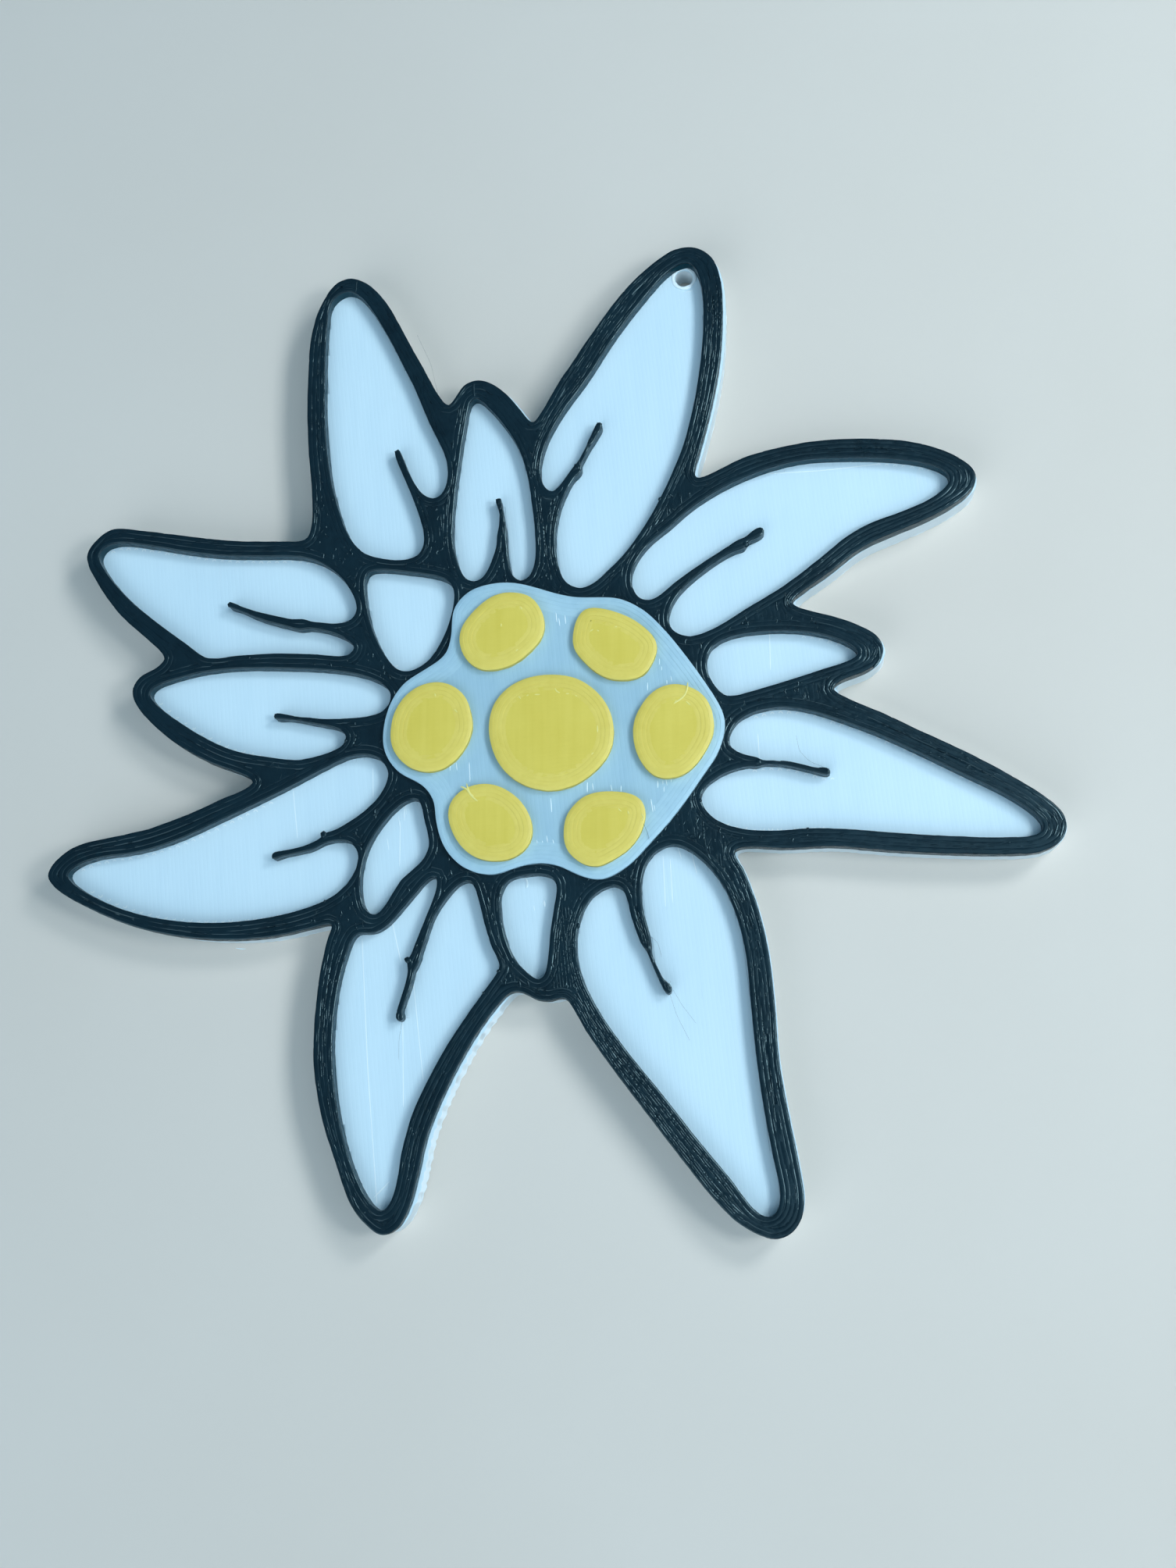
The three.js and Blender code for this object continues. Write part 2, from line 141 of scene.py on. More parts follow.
def drift(count, step, wavelength, seed):
    # smooth random curve of about unit height along an open run of points
    knots = max(3, int(count * step / wavelength) + 3)
    rng = np.random.default_rng(seed)
    values = rng.normal(0, 1, knots)
    at = np.linspace(0, knots - 1, count)
    low = np.minimum(at.astype(int), knots - 2)
    part = (1 - np.cos(np.pi * (at - low))) / 2
    return values[low] * (1 - part) + values[low + 1] * part


def nearness(loops):
    # nearest distance to any of the outlines
    points = np.vstack([resampled(loop, 0.09, 0) for loop in loops])
    tree = kdtree.KDTree(len(points))
    for i, (x, y) in enumerate(points):
        tree.insert((x, y, 0), i)
    tree.balance()
    return lambda p: tree.find((p[0], p[1], 0))[2]


def inside(loop, points):
    # which points lie inside a closed outline
    points = np.atleast_2d(points)
    x, y = points[:, 0][:, None], points[:, 1][:, None]
    ax, ay = loop[:, 0][None], loop[:, 1][None]
    bx, by = np.roll(loop[:, 0], -1)[None], np.roll(loop[:, 1], -1)[None]
    crosses = (ay > y) != (by > y)
    at = ax + (y - ay) * (bx - ax) / np.where(by == ay, 1e-12, by - ay)
    return (np.sum(crosses & (x < at), 1) % 2) == 1


def hatch(loops, spacing, across, along, phase=0.0):
    # straight fill lines inside the outlines: (line number, start, end)
    flat = [(loop @ across, loop @ along) for loop in loops]
    low = min(u.min() for u, v in flat)
    high = max(u.max() for u, v in flat)
    lines = []
    first, last = math.ceil((low - phase) / spacing), math.floor((high - phase) / spacing)
    for number in range(first, last + 1):
        at = phase + number * spacing
        cuts = []
        for u, v in flat:
            nextU, nextV = np.roll(u, -1), np.roll(v, -1)
            hit = (u > at) != (nextU > at)
            cuts.extend(v[hit] + (at - u[hit]) * (nextV[hit] - v[hit]) / (nextU[hit] - u[hit]))
        cuts.sort()
        for a, b in zip(cuts[::2], cuts[1::2]):
            lines.append((number, at * across + a * along, at * across + b * along))
    return lines


def within(points, box):
    # 1 inside the box (x0, x1, y0, y1), fading out over its last millimetre
    x0, x1, y0, y1 = box
    x, y = points[:, 0], points[:, 1]
    near = np.minimum(np.minimum(x - x0, x1 - x), np.minimum(y - y0, y1 - y))
    return np.clip(near + 0.5, 0, 1)


def brokenRuns(points, keep, closedLoop):
    # stretches of the kept points, in order
    if keep.all():
        return [(points, closedLoop)]
    if not keep.any():
        return []
    if closedLoop:
        first = int(np.argmin(keep))
        points, keep = np.roll(points, -first, 0), np.roll(keep, -first)
    stretches, run = [], []
    for point, kept in zip(points, keep):
        if kept:
            run.append(point)
        elif run:
            stretches.append((np.array(run), False))
            run = []
    if run:
        stretches.append((np.array(run), False))
    return [s for s in stretches if len(s[0]) > 1]


def curved(path, step):
    # an open run of 3D points with its corners rounded
    path = np.array(path, float)
    along = np.concatenate([[0], np.cumsum(np.linalg.norm(np.diff(path, axis=0), axis=1))])
    at = np.linspace(0, along[-1], max(4, round(along[-1] / step)))
    points = np.stack([np.interp(at, along, path[:, k]) for k in range(3)], 1)
    for _ in range(4):
        points[1:-1] = (points[:-2] + 2 * points[1:-1] + points[2:]) / 4
    return points


def newPiece(name, bm, material, smoothAngle=60):
    mesh = bpy.data.meshes.new(name)
    bm.to_mesh(mesh)
    bm.free()
    return finishedPiece(name, mesh, material, smoothAngle)


def finishedPiece(name, mesh, material, smoothAngle=60):
    mesh.materials.clear()
    mesh.materials.append(material)
    mesh.shade_smooth()
    mesh.set_sharp_from_angle(angle=math.radians(smoothAngle))
    piece = bpy.data.objects.new(name, mesh)
    bpy.context.scene.collection.objects.link(piece)
    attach(piece, body)
    return piece


def stackedWalls(loops, bottom, top, settings, uneven=None):
    # one closed body whose sides bulge at each printed layer
    bm = bmesh.new()
    station = bm.verts.layers.int.new("station")
    points = np.vstack(loops)
    normals = np.vstack([inwards(loop) for loop in loops])
    edges, start = [], 0
    for loop in loops:
        ring = []
        for i in range(len(loop)):
            vert = bm.verts.new((0, 0, 0))
            vert[station] = start + i
            ring.append(vert)
        edges += [bm.edges.new((ring[i], ring[(i + 1) % len(ring)])) for i in range(len(ring))]
        start += len(loop)

    layers = max(1, round((top - bottom) / layer))
    rise = (top - bottom) / layers
    rows = []
    for k in range(layers):
        wander = np.concatenate([
            ripple(len(loop), len(loop) * settings["wanderWaves"], settings["seed"] + 31 * k + j)
            for j, loop in enumerate(loops)]) * settings["wander"]
        if uneven is not None:
            wander = wander + uneven(points, normals, k)
        foot = settings["foot"] if k == 0 else 0
        rows.append((bottom + k * rise, settings["groove"] + wander * 0.5 - foot * 0.6))
        rows.append((bottom + (k + 0.5) * rise, wander - foot))
    rows.append((top, settings["groove"] + settings["edgeRound"] + wander * 0.5))

    def place(verts, row):
        height, inset = row
        for vert in verts:
            i = vert[station]
            x, y = points[i] + normals[i] * inset[i]
            vert.co = (x * mm, y * mm, height * mm)

    place(bm.verts, rows[0])
    bottomEdges = edges
    for row in rows[1:]:
        grown = bmesh.ops.extrude_edge_only(bm, edges=edges)["geom"]
        place([g for g in grown if isinstance(g, bmesh.types.BMVert)], row)
        edges = [g for g in grown if isinstance(g, bmesh.types.BMEdge)]
    for rim in (bottomEdges, edges):
        bmesh.ops.triangle_fill(bm, use_beauty=True, use_dissolve=False, edges=rim)
    bmesh.ops.recalc_face_normals(bm, faces=bm.faces)
    return bm


def beadProfile(width, height, shoulder, plain):
    # pressed bead: an almost flat top at zero and narrow shoulders that drop beside it
    half = width / 2
    side = [
        (1, -height), (0.95, -shoulder), (0.9, -0.78 * shoulder), (0.62, -0.12 * shoulder),
        (0.54, -0.02 * shoulder)]
    if plain:
        side = side[::2]
    shape = [(-x * half, y) for x, y in side] + [(0, 0)] + [(x * half, y) for x, y in side[::-1]]
    data = bpy.data.curves.new("beadProfile", "CURVE")
    data.dimensions = "2D"
    spline = data.splines.new("POLY")
    spline.points.add(len(shape) - 1)
    for point, (x, y) in zip(spline.points, shape):
        point.co = (x * mm, y * mm, 0, 1)
    spline.use_cyclic_u = True
    profile = bpy.data.objects.new("beadProfile", data)
    bpy.context.scene.collection.objects.link(profile)
    return profile


def laidBeads(runs, width, height, shoulder, plain=False):
    # a mesh of plastic beads; a run is (points in mm, thickness factors, closed) and maybe its roll
    profile = beadProfile(width, height, shoulder, plain)
    data = bpy.data.curves.new("beads", "CURVE")
    data.dimensions = "3D"
    data.twist_mode = "Z_UP"
    data.bevel_mode = "OBJECT"
    data.bevel_object = profile
    data.use_fill_caps = True
    data.resolution_u = 1
    for points, factors, closed, *roll in runs:
        spline = data.splines.new("POLY")
        spline.points.add(len(points) - 1)
        flat = np.ones((len(points), 4))
        flat[:, :3] = np.asarray(points) * mm
        spline.points.foreach_set("co", flat.ravel())
        spline.points.foreach_set("radius", np.asarray(factors, float))
        if roll:
            spline.points.foreach_set("tilt", roll[0])
        spline.use_cyclic_u = closed
    holder = bpy.data.objects.new("beads", data)
    bpy.context.scene.collection.objects.link(holder)
    bpy.context.view_layer.update()
    swept = holder.evaluated_get(bpy.context.evaluated_depsgraph_get())
    mesh = bpy.data.meshes.new_from_object(swept)
    for used in (holder, profile):
        bpy.data.objects.remove(used)
    return mesh


def tapered(count, ends=0.6):
    factors = np.ones(count)
    if count > 3:
        factors[[0, -1]] = ends
        factors[[1, -2]] = (1 + ends) / 2 + 0.1
    return factors


def raised(points, heights):
    return np.column_stack([points, np.broadcast_to(heights, len(points))])


def strand(path, step, thickness=1.0, ends=0.4):
    points = curved(path, step)
    return points, thickness * tapered(len(points), ends), False


def droplets(name, spots, material):
    # small lumps of plastic: (x, y, z, half width, half height, stretch, turn in degrees)
    bm = bmesh.new()
    for x, y, z, width, height, stretch, turn in spots:
        place = (
            Matrix.Translation((x * mm, y * mm, z * mm))
            @ Matrix.Rotation(math.radians(turn), 4, "Z")
            @ Matrix.Diagonal((width * stretch * mm, width * mm, height * mm, 1)))
        made = bmesh.ops.create_icosphere(bm, subdivisions=2, radius=1, matrix=place)["verts"]
        for vert in made:
            away = vert.co - place.translation
            vert.co = place.translation + away * (1 + 0.12 * math.sin(
                5 * vert.co.x / (width * mm) + 4 * vert.co.y / (width * mm) + x))
    lumps = newPiece(name, bm, material)
    return lumps


def linear(hexColour):
    # a hex colour as Blender's own linear one
    parts = [int(hexColour[i:i + 2], 16) / 255 for i in (0, 2, 4)]
    shades = [c / 12.92 if c <= 0.04045 else ((c + 0.055) / 1.055) ** 2.4 for c in parts]
    return (*shades, 1.0)


def addNode(tree, kind, settings=None, links=None):
    node = tree.nodes.new(kind)
    for key, value in (settings or {}).items():
        if key in node.inputs:
            node.inputs[key].default_value = value
        else:
            setattr(node, key, value)
    for socket, source in (links or {}).items():
        tree.links.new(source, node.inputs[socket])
    return node


def rampNode(tree, source, stops):
    ramp = addNode(tree, "ShaderNodeValToRGB", links={"Fac": source})
    for i, (at, colour) in enumerate(stops):
        element = ramp.color_ramp.elements[i] if i < 2 else ramp.color_ramp.elements.new(at)
        element.position, element.color = at, colour
    return ramp


def printedPlastic(name, look):
    # printed PLA: an even colour, a satin to glossy skin that turns duller where beads rub,
    # and fine ripples along the printed lines; where a look gives one, the sides carry painted
    # light
    material = bpy.data.materials.new(name)
    material.use_nodes = True
    tree = material.node_tree
    tree.nodes.clear()
    place = addNode(tree, "ShaderNodeTexCoord").outputs["Object"]
    alongLines = addNode(
        tree, "ShaderNodeMapping",
        {"Rotation": (0, 0, -look["turn"]), "Scale": (1, look["stretch"], 1)}, {"Vector": place})
    patches = addNode(
        tree, "ShaderNodeTexNoise", {"Scale": 1000 / look["patchSize"], "Detail": 3.0},
        {"Vector": place})
    streaks = addNode(
        tree, "ShaderNodeTexNoise", {"Scale": 1000 / look["streakSize"], "Detail": 2.0},
        {"Vector": alongLines.outputs["Vector"]})
    grain = addNode(
        tree, "ShaderNodeTexNoise", {"Scale": 1000 / look["grainSize"], "Detail": 2.0},
        {"Vector": place})
    tint = addNode(
        tree, "ShaderNodeMix", {"Factor": look["streakShare"]},
        {"A": patches.outputs["Fac"], "B": streaks.outputs["Fac"]})
    stops = [(0.35, linear(look["dark"])), (0.65, linear(look["light"]))]
    share, level = tint.outputs["Result"], None
    if "wallTop" in look:
        # painted light: the sides are coloured as if lit by the pale floor beside them, so they
        # look softer than the top; their gloss is lower too
        height = addNode(tree, "ShaderNodeSeparateXYZ", links={"Vector": place}).outputs["Z"]
        wallFade = {
            "From Min": (look["wallTop"] - 0.15) * mm, "From Max": look["wallTop"] * mm}
        upper = addNode(tree, "ShaderNodeMapRange", wallFade, {"Value": height})
        share = addNode(
            tree, "ShaderNodeMath", {"operation": "MULTIPLY"},
            {0: share, 1: upper.outputs["Result"]}).outputs[0]
        level = addNode(
            tree, "ShaderNodeMapRange", {"To Min": look["wallGloss"], "To Max": 0.5},
            {"Value": upper.outputs["Result"]})
        stops = [(0.0, linear(look["paintedWallLight"]))] + stops
    colour = rampNode(tree, share, stops)
    rough = addNode(
        tree, "ShaderNodeMapRange",
        {"From Min": 0.3, "From Max": 0.7, "To Min": look["rough"][0], "To Max": look["rough"][1]},
        {"Value": streaks.outputs["Fac"]})
    soft = addNode(
        tree, "ShaderNodeBump",
        {"Strength": look["streakBump"], "Distance": look["bumpDepth"] * mm},
        {"Height": streaks.outputs["Fac"]})
    fine = addNode(
        tree, "ShaderNodeBump", {"Strength": look["grainBump"], "Distance": 0.02 * mm},
        {"Height": grain.outputs["Fac"], "Normal": soft.outputs["Normal"]})
    shader = addNode(
        tree, "ShaderNodeBsdfPrincipled",
        {"IOR": 1.46, "Specular IOR Level": 0.5, "Specular Tint": look["sheen"]},
        {"Base Color": colour.outputs["Color"], "Roughness": rough.outputs["Result"],
         "Normal": fine.outputs["Normal"]})
    if level:
        tree.links.new(level.outputs["Result"], shader.inputs["Specular IOR Level"])
    out = addNode(tree, "ShaderNodeOutputMaterial")
    tree.links.new(shader.outputs["BSDF"], out.inputs["Surface"])
    return material


whiteLook = {  # white PLA: bright and even, satin, with faint lines along the raster
    "dark": "cbe4f1", "light": "d0e8f4", "patchSize": 14, "streakSize": 0.8, "stretch": 0.06,
    "turn": rasterTurn, "streakShare": 0.35, "grainSize": 0.25, "rough": (0.42, 0.55),
    "streakBump": 0.1, "bumpDepth": 0.05, "grainBump": 0.1, "sheen": (1, 1, 1, 1)}
# painted light: below its top the plate's sides take a paler white, the pale floor's light painted
# onto them
whitePla = printedPlastic(
    "whitePrintedPla", dict(whiteLook, wallTop=2.62, paintedWallLight="e3ecf0", wallGloss=0.4))
# painted highlight: a lighter white than the plastic's own for the threads, where they catch the
# light
whiteStringHighlightPla = printedPlastic("whiteStringHighlightPla", dict(whiteLook, dark="e2f3fb", light="eaf7fc"))
discLook = dict(  # thin white PLA over black: greyer and a little shinier
    whiteLook, dark="9abdd0", light="a6c8d9", patchSize=7, rough=(0.36, 0.5), streakBump=0.15)
discPla = printedPlastic("thinWhitePrintedPla", discLook)
# painted glow: the disc's rim rings and sides are a lighter white than its top, where its edges
# catch the light
discRimGlowPla = printedPlastic(
    "thinWhiteRimGlowPla", dict(discLook, dark="a0c3d5", light="aecfde", stretch=1))
blackPla = printedPlastic("blackPrintedPla", {  # black PLA: glossy, with crisp cool highlights
    "dark": "0a1a23", "light": "0f232d", "patchSize": 5, "streakSize": 0.9, "stretch": 1,
    "turn": 0, "streakShare": 0.3, "grainSize": 0.3, "rough": (0.1, 0.24),
    "streakBump": 0.5, "bumpDepth": 0.08, "grainBump": 0.2, "sheen": (0.62, 0.92, 1, 1),
    # painted reflection: the black's sides turn teal, the pale floor's light painted onto them
    "wallTop": 4.02, "paintedWallLight": "123a46", "wallGloss": 0.12})
yellowLook = dict(  # yellow PLA: warm and satin, its lines turned across the raster
    whiteLook, dark="dcc654", light="e3ce5e", patchSize=4, turn=rasterTurn - math.pi / 2,
    streakShare=0.5, rough=(0.34, 0.5), streakBump=0.15, grainBump=0.15)
yellowPla = printedPlastic("yellowPrintedPla", yellowLook)
# painted glow: the florets' rim rings and sides are a lighter yellow than their tops, where the
# edges catch the light
yellowRimGlowPla = printedPlastic(
    "yellowRimGlowPla", dict(yellowLook, dark="dfc95e", light="e6d168", stretch=1))
# painted highlight: a paler yellow for the threads, where they catch the light
yellowStringHighlightPla = printedPlastic("yellowStringHighlightPla", dict(yellowLook, dark="e8db80", light="efe390"))
print("materials made")

base = {
    "step": 0.34, "groove": 0.03, "edgeRound": 0.05, "foot": 0.04, "wander": 0.018,
    "wanderWaves": 0.25, "seed": 100, "skin": 0.05,
    "lineSpacing": 0.41, "lineWidth": 0.44, "lineHeight": 0.07, "lineShoulder": 0.005,
    "lineStagger": 0.003, "lineWobble": 0.006, "lineUneven": 0.001, "lineKnots": 1.6,
    "shortestLine": 0.3, "underDrawing": 0.35,
    "holeReach": 0.4, "holeKnots": 0.25, "holeClear": 0.35,
    # where the plate hides under the drawing
    "drawnIn": [((-22, -8, 31, 49.5), 0.5), ((14, 28, -50, -10), 0.26)],
    # box, depth and wavelength of the uneven edges
    "scallops": ((-18.5, -4, -47, -27), 0.17, 1.0),
    "lumps": ((12, 19.5, -46, -8), 0.07, 1.3)}
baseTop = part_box("base_plate")[1].z / mm
baseLoops = [
    resampled(loop, base["step"], 2 if i == 0 else 1)
    for i, loop in enumerate(rimLoops("base_plate"))]
drawingLoops = rimLoops("black_drawing")
windows = drawingLoops[1:]
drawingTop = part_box("black_drawing")[1].z / mm


def unevenEdge(points, normals, k):
    # extra inset of the plate's right-hand edges
    facing = np.clip(-2 * normals[:, 0], 0, 1)
    inset = np.zeros(len(points))
    for box, depth in base["drawnIn"]:
        inset += depth * facing * within(points, box)
    box, depth, wave = base["scallops"]
    turns = 2 * math.pi * points[:, 1] / wave
    waves = 0.55 + 0.45 * np.sin(turns + 0.9 * np.sin(turns / 3.7))
    inset -= depth * facing * within(points, box) * waves
    box, depth, wave = base["lumps"]
    turns = 2 * math.pi * points[:, 1] / wave
    waves = 1 + np.sin(turns + k + 1.4 * np.sin(turns / 2.3))
    return inset - depth * facing * within(points, box) * waves


baseBody = newPiece(
    "base_plate_body",
    stackedWalls(baseLoops, 0, baseTop - base["skin"], base, unevenEdge), whitePla)
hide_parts("base_plate")

# parallel top lines on the floors of the petals; every second one lies a little lower
hole = baseLoops[1]
holeCentre = hole.mean(0)
holeRadius = float(np.hypot(*(hole - holeCentre).T).mean())
floorLines = []
for window in windows:
    floorLines += hatch([window], base["lineSpacing"], lineAcross, lineAlong)
runs = []
for number, a, b in floorLines:
    length = float(np.hypot(*(b - a)))
    if length < base["shortestLine"]:
        continue
    a, b = a - lineAlong * base["underDrawing"], b + lineAlong * base["underDrawing"]
    crossesHole = abs((a - holeCentre) @ lineAcross) < holeRadius + base["holeReach"]
    count = max(3, int(length / base["holeKnots" if crossesHole else "lineKnots"]) + 2)
    points = a + (b - a) * np.linspace(0, 1, count)[:, None]
    points = points + lineAcross * np.array(
        [[dice.gauss(0, base["lineWobble"])] for _ in range(count)])
    clear = np.hypot(*(points - holeCentre).T) > holeRadius + base["holeClear"]
    height = baseTop - (base["lineStagger"] if number % 2 else 0)
    height = height + np.array([dice.gauss(0, base["lineUneven"]) for _ in range(count)])
    for stretch, closed in brokenRuns(raised(points, height), clear, False):
        runs.append((stretch, tapered(len(stretch), 0.9), False))
baseLines = finishedPiece(
    "base_plate_lines",
    laidBeads(runs, base["lineWidth"], base["lineHeight"], base["lineShoulder"]), whitePla)
print("base plate:", len(runs), "top lines")

# where the nozzle turned at the ends of the lines, and stray threads that it drew over the floors
strayMarks = {
    "width": 0.16, "height": 0.06, "shoulder": 0.02, "rise": 0.006, "dip": 0.02,
    "turnBack": (0.5, 1.0), "turnRound": 0.12, "turnLast": 0.8, "curlRise": 0.06,
    "holeRimOut": 0.22, "holeRimRise": 0.08, "holeRimKnots": 28,
    "turnsTop": [  # where the turns show at the upper and lower ends
        (-46.5, -22, 14.5, 20.5), (-47.5, -28, -15, -6), (25, 31.5, 3.5, 8), (33, 41, 18.5, 26.2),
        (20, 43, -8, 0.6)],
    "turnsBottom": [
        (-46.5, -23, -20.5, -15.5), (-40.5, -29, -4.5, 3.6), (25, 31.5, 3.5, 8),
        (33, 41, 18.5, 26.2), (17.5, 27.5, -12.5, -10), (-16, -10, 4.8, 9)],
    "threads": [
        [(11.5, -14), (11.7, -19)], [(12.2, -14.3), (12.4, -18.6)],
        [(-25.6, -6.5), (-25.3, -9), (-25, -11.5)], [(-17.5, -4.5), (-17.4, -7.5)],
        [(-18.2, -21.7), (-17.4, -34), (-16.2, -47)], [(-15.6, -18.5), (-14.3, -24)],
        [(-13.2, -24.5), (-11.9, -35.5)], [(-14, -30), (-13.8, -38)], [(-16.5, -46.5), (-15, -45)],
        [(-14.2, -8.2), (-14.2, -10)], [(-14.6, -10), (-14.6, -14.5)], [(21, -2), (21.1, -4.5)],
        [(22.4, 4.5), (22.4, 9)], [(22.3, 25.1), (28, 25.2), (34, 25.7)],
        [(-14.1, -8.2), (-14, -9.3)], [(-14.8, -9.5), (-14.6, -10.7)],
        [(-15.9, -11.7), (-15.7, -12.9)], [(14.3, -13.7), (14.8, -15.9)],
        [(12.9, -12.9), (13.3, -14.3)], [(14.6, 45.5), (15.4, 45.7)],
        [(-3.6, 16), (-3.4, 15.7), (-3.3, 15.3)], [(-1.2, -18.7), (-1.1, -19.2)],
        [(-30.9, -22.4), (-30.4, -22.6), (-29.9, -22.5)]],
    "curls": [[(-2, -16), (-1.8, -16.3), (-1.9, -16.9)], [(-0.2, -18.2), (-0.1, -18.8)]]}
lift = baseTop + strayMarks["rise"]
runs = []
for number, a, b in floorLines:
    if number % 2:
        continue
    for end, back, zones in ((b, -lineAlong, "turnsTop"), (a, lineAlong, "turnsBottom")):
        x, y = end
        if any(x0 < x < x1 and y0 < y < y1 for x0, x1, y0, y1 in strayMarks[zones]):
            reach = dice.uniform(*strayMarks["turnBack"])
            over = end + lineAcross * base["lineSpacing"]
            bend = back * strayMarks["turnRound"]
            turn = [
                end + back * reach, end + bend, over + bend,
                over + back * reach * strayMarks["turnLast"]]
            turn = [(*p, lift - strayMarks["dip"] * (i % 3 == 0)) for i, p in enumerate(turn)]
            runs.append(strand(turn, 0.14, 1, 0.5))
for thread in strayMarks["threads"]:
    runs.append(strand([(x, y, lift) for x, y in thread], 0.3, 0.7, 0.3))
for curl in strayMarks["curls"]:
    curl = [(x, y, baseTop + strayMarks["curlRise"]) for x, y in curl]
    runs.append(strand(curl, 0.12, 1.3))
knots = strayMarks["holeRimKnots"]  # a swollen ring of plastic round the hole
out = holeRadius + strayMarks["holeRimOut"]
rim = [
    (*(holeCentre + out * np.array([math.cos(t), math.sin(t)])),
     baseTop + strayMarks["holeRimRise"])
    for t in np.linspace(0, 2 * math.pi, knots, endpoint=False)]
runs.append((np.array(rim), 2.2 + 0.5 * ripple(knots, 4, 5), True))
# the turns, threads and hole ring wear the lighter string white, a painted highlight
baseMarks = finishedPiece(
    "base_plate_marks",
    laidBeads(runs, strayMarks["width"], strayMarks["height"], strayMarks["shoulder"]),
    whiteStringHighlightPla)
print("stray marks:", len(runs))

drawing = {
    "step": 0.34, "groove": 0.015, "edgeRound": 0.04, "foot": 0.0, "wander": 0.012,
    "wanderWaves": 0.22, "seed": 500, "skin": 0.07,
    "beadSpacing": 0.44, "firstBead": 0.285, "beadWidth": 0.56, "beadHeight": 0.16, "rings": 3,
    "beadStep": 0.33, "firstGap": 0.12, "overlap": 0.16,
    "fillSpacing": 0.43, "fillShift": 0.1, "fillStep": 0.2, "fillGap": 0.98, "discLap": 2.4,
    # wavelengths of a pull's sideways, crest and thickness waves, and how thin it may get
    "sideLength": 1.9, "crestLength": 1.3, "swellLength": 1.1, "swell": 0.025,
    "deepest": 0.05, "room": 0.02, "thinnest": 0.45, "pullEnds": 0.75}
outerPulls = {
    "length": (3, 12), "drop": 0.01, "crestWave": 0.008, "sideWave": 0.012, "shoulder": 0.05}
innerPulls = {
    "length": (4, 16), "drop": 0.008, "crestWave": 0.006, "sideWave": 0.01, "shoulder": 0.05}
fillPulls = {
    "length": (1.5, 6), "drop": 0.004, "crestWave": 0.004, "sideWave": 0.03, "shoulder": 0.008}
drawingWalls = newPiece(
    "drawing_body",
    stackedWalls(
        [resampled(loop, drawing["step"], 1) for loop in drawingLoops],
        baseTop - base["skin"], drawingTop - drawing["skin"], drawing),
    blackPla)
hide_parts("black_drawing")

gapTo = nearness(drawingLoops)
discLoop = rimLoops("centre_disc")[0]


def onBlack(x, y, gap):
    # on the bare drawing and at least the gap away from its edges
    holes = windows + [discLoop]
    return gapTo((x, y)) > gap and inside(drawingLoops[0], (x, y))[0] and not any(
        inside(loop, (x, y))[0] for loop in holes)


def pulledPieces(points, closed, step, pulls, seed):
    # a long bead laid as shorter pulls whose ends overlap and whose crests wander
    if closed:
        points = np.vstack([points, points[:2]])
    start, pieces = 0, []
    while start < len(points) - 1:
        size = max(2, int(dice.uniform(*pulls["length"]) / step))
        piece = points[max(0, start - 1):start + size + 1]
        count = len(piece)
        if count >= 2:
            side = inwards(piece) if count > 2 else np.zeros((count, 2))
            side[[0, -1]] = side[[1, -2]] if count > 2 else 0
            sideways = drift(count, step, drawing["sideLength"], seed + start)[:, None]
            crest = drift(count, step, drawing["crestLength"], seed + start + 7)
            drop = min(drawing["deepest"], abs(dice.gauss(0, pulls["drop"])))
            waves = drift(count, step, drawing["swellLength"], seed + start + 13)
            room = np.array([gapTo(p) for p in piece]) + drawing["room"]
            swell = (1 + drawing["swell"] * waves) * np.clip(
                2 * room / drawing["beadWidth"], drawing["thinnest"], 1)
            piece = raised(
                piece + side * (pulls["sideWave"] * sideways),
                drawingTop + (pulls["crestWave"] * crest - drop))
            pieces.append((piece, swell * tapered(count, drawing["pullEnds"]), False))
        start += size
    return pieces


def beadPiece(name, runs, pulls):
    mesh = laidBeads(runs, drawing["beadWidth"], drawing["beadHeight"], pulls["shoulder"])
    beads = finishedPiece(name, mesh, blackPla)
    print(name, len(runs), "pulls")


for name, pulls, wanted in (
        ("drawing_outer_beads", outerPulls, drawingLoops[:1]),
        ("drawing_petal_beads", innerPulls, windows)):
    runs = []
    for loopNumber, loop in enumerate(wanted):
        for ring in range(drawing["rings"]):
            depth = drawing["firstBead"] + drawing["beadSpacing"] * ring
            edge = resampled(loop, drawing["beadStep"], 1)
            points = edge + inwards(edge) * depth
            least = drawing["firstGap"] if ring == 0 else depth - drawing["overlap"]
            keep = np.array([gapTo(p) > least for p in points])
            for stretch, closed in brokenRuns(points, keep, True):
                runs += pulledPieces(
                    stretch, closed, drawing["beadStep"], pulls, 1000 * loopNumber + 333 * ring)
    beadPiece(name, runs, pulls)

runs = []
for number, a, b in hatch(
        drawingLoops, drawing["fillSpacing"], lineAcross, lineAlong, drawing["fillShift"]):
    length = float(np.hypot(*(b - a)))
    count = max(2, int(length / drawing["fillStep"]))
    points = a + (b - a) * np.linspace(0, 1, count)[:, None]
    gaps = np.array([gapTo(p) for p in points])
    underDisc = inside(discLoop, points) & (gaps > drawing["discLap"])
    keep = (gaps > drawing["fillGap"]) & ~underDisc
    for stretch, closed in brokenRuns(points, keep, False):
        runs += pulledPieces(stretch, False, drawing["fillStep"], fillPulls, 90000 + 17 * number)
beadPiece("drawing_fill_beads", runs, fillPulls)

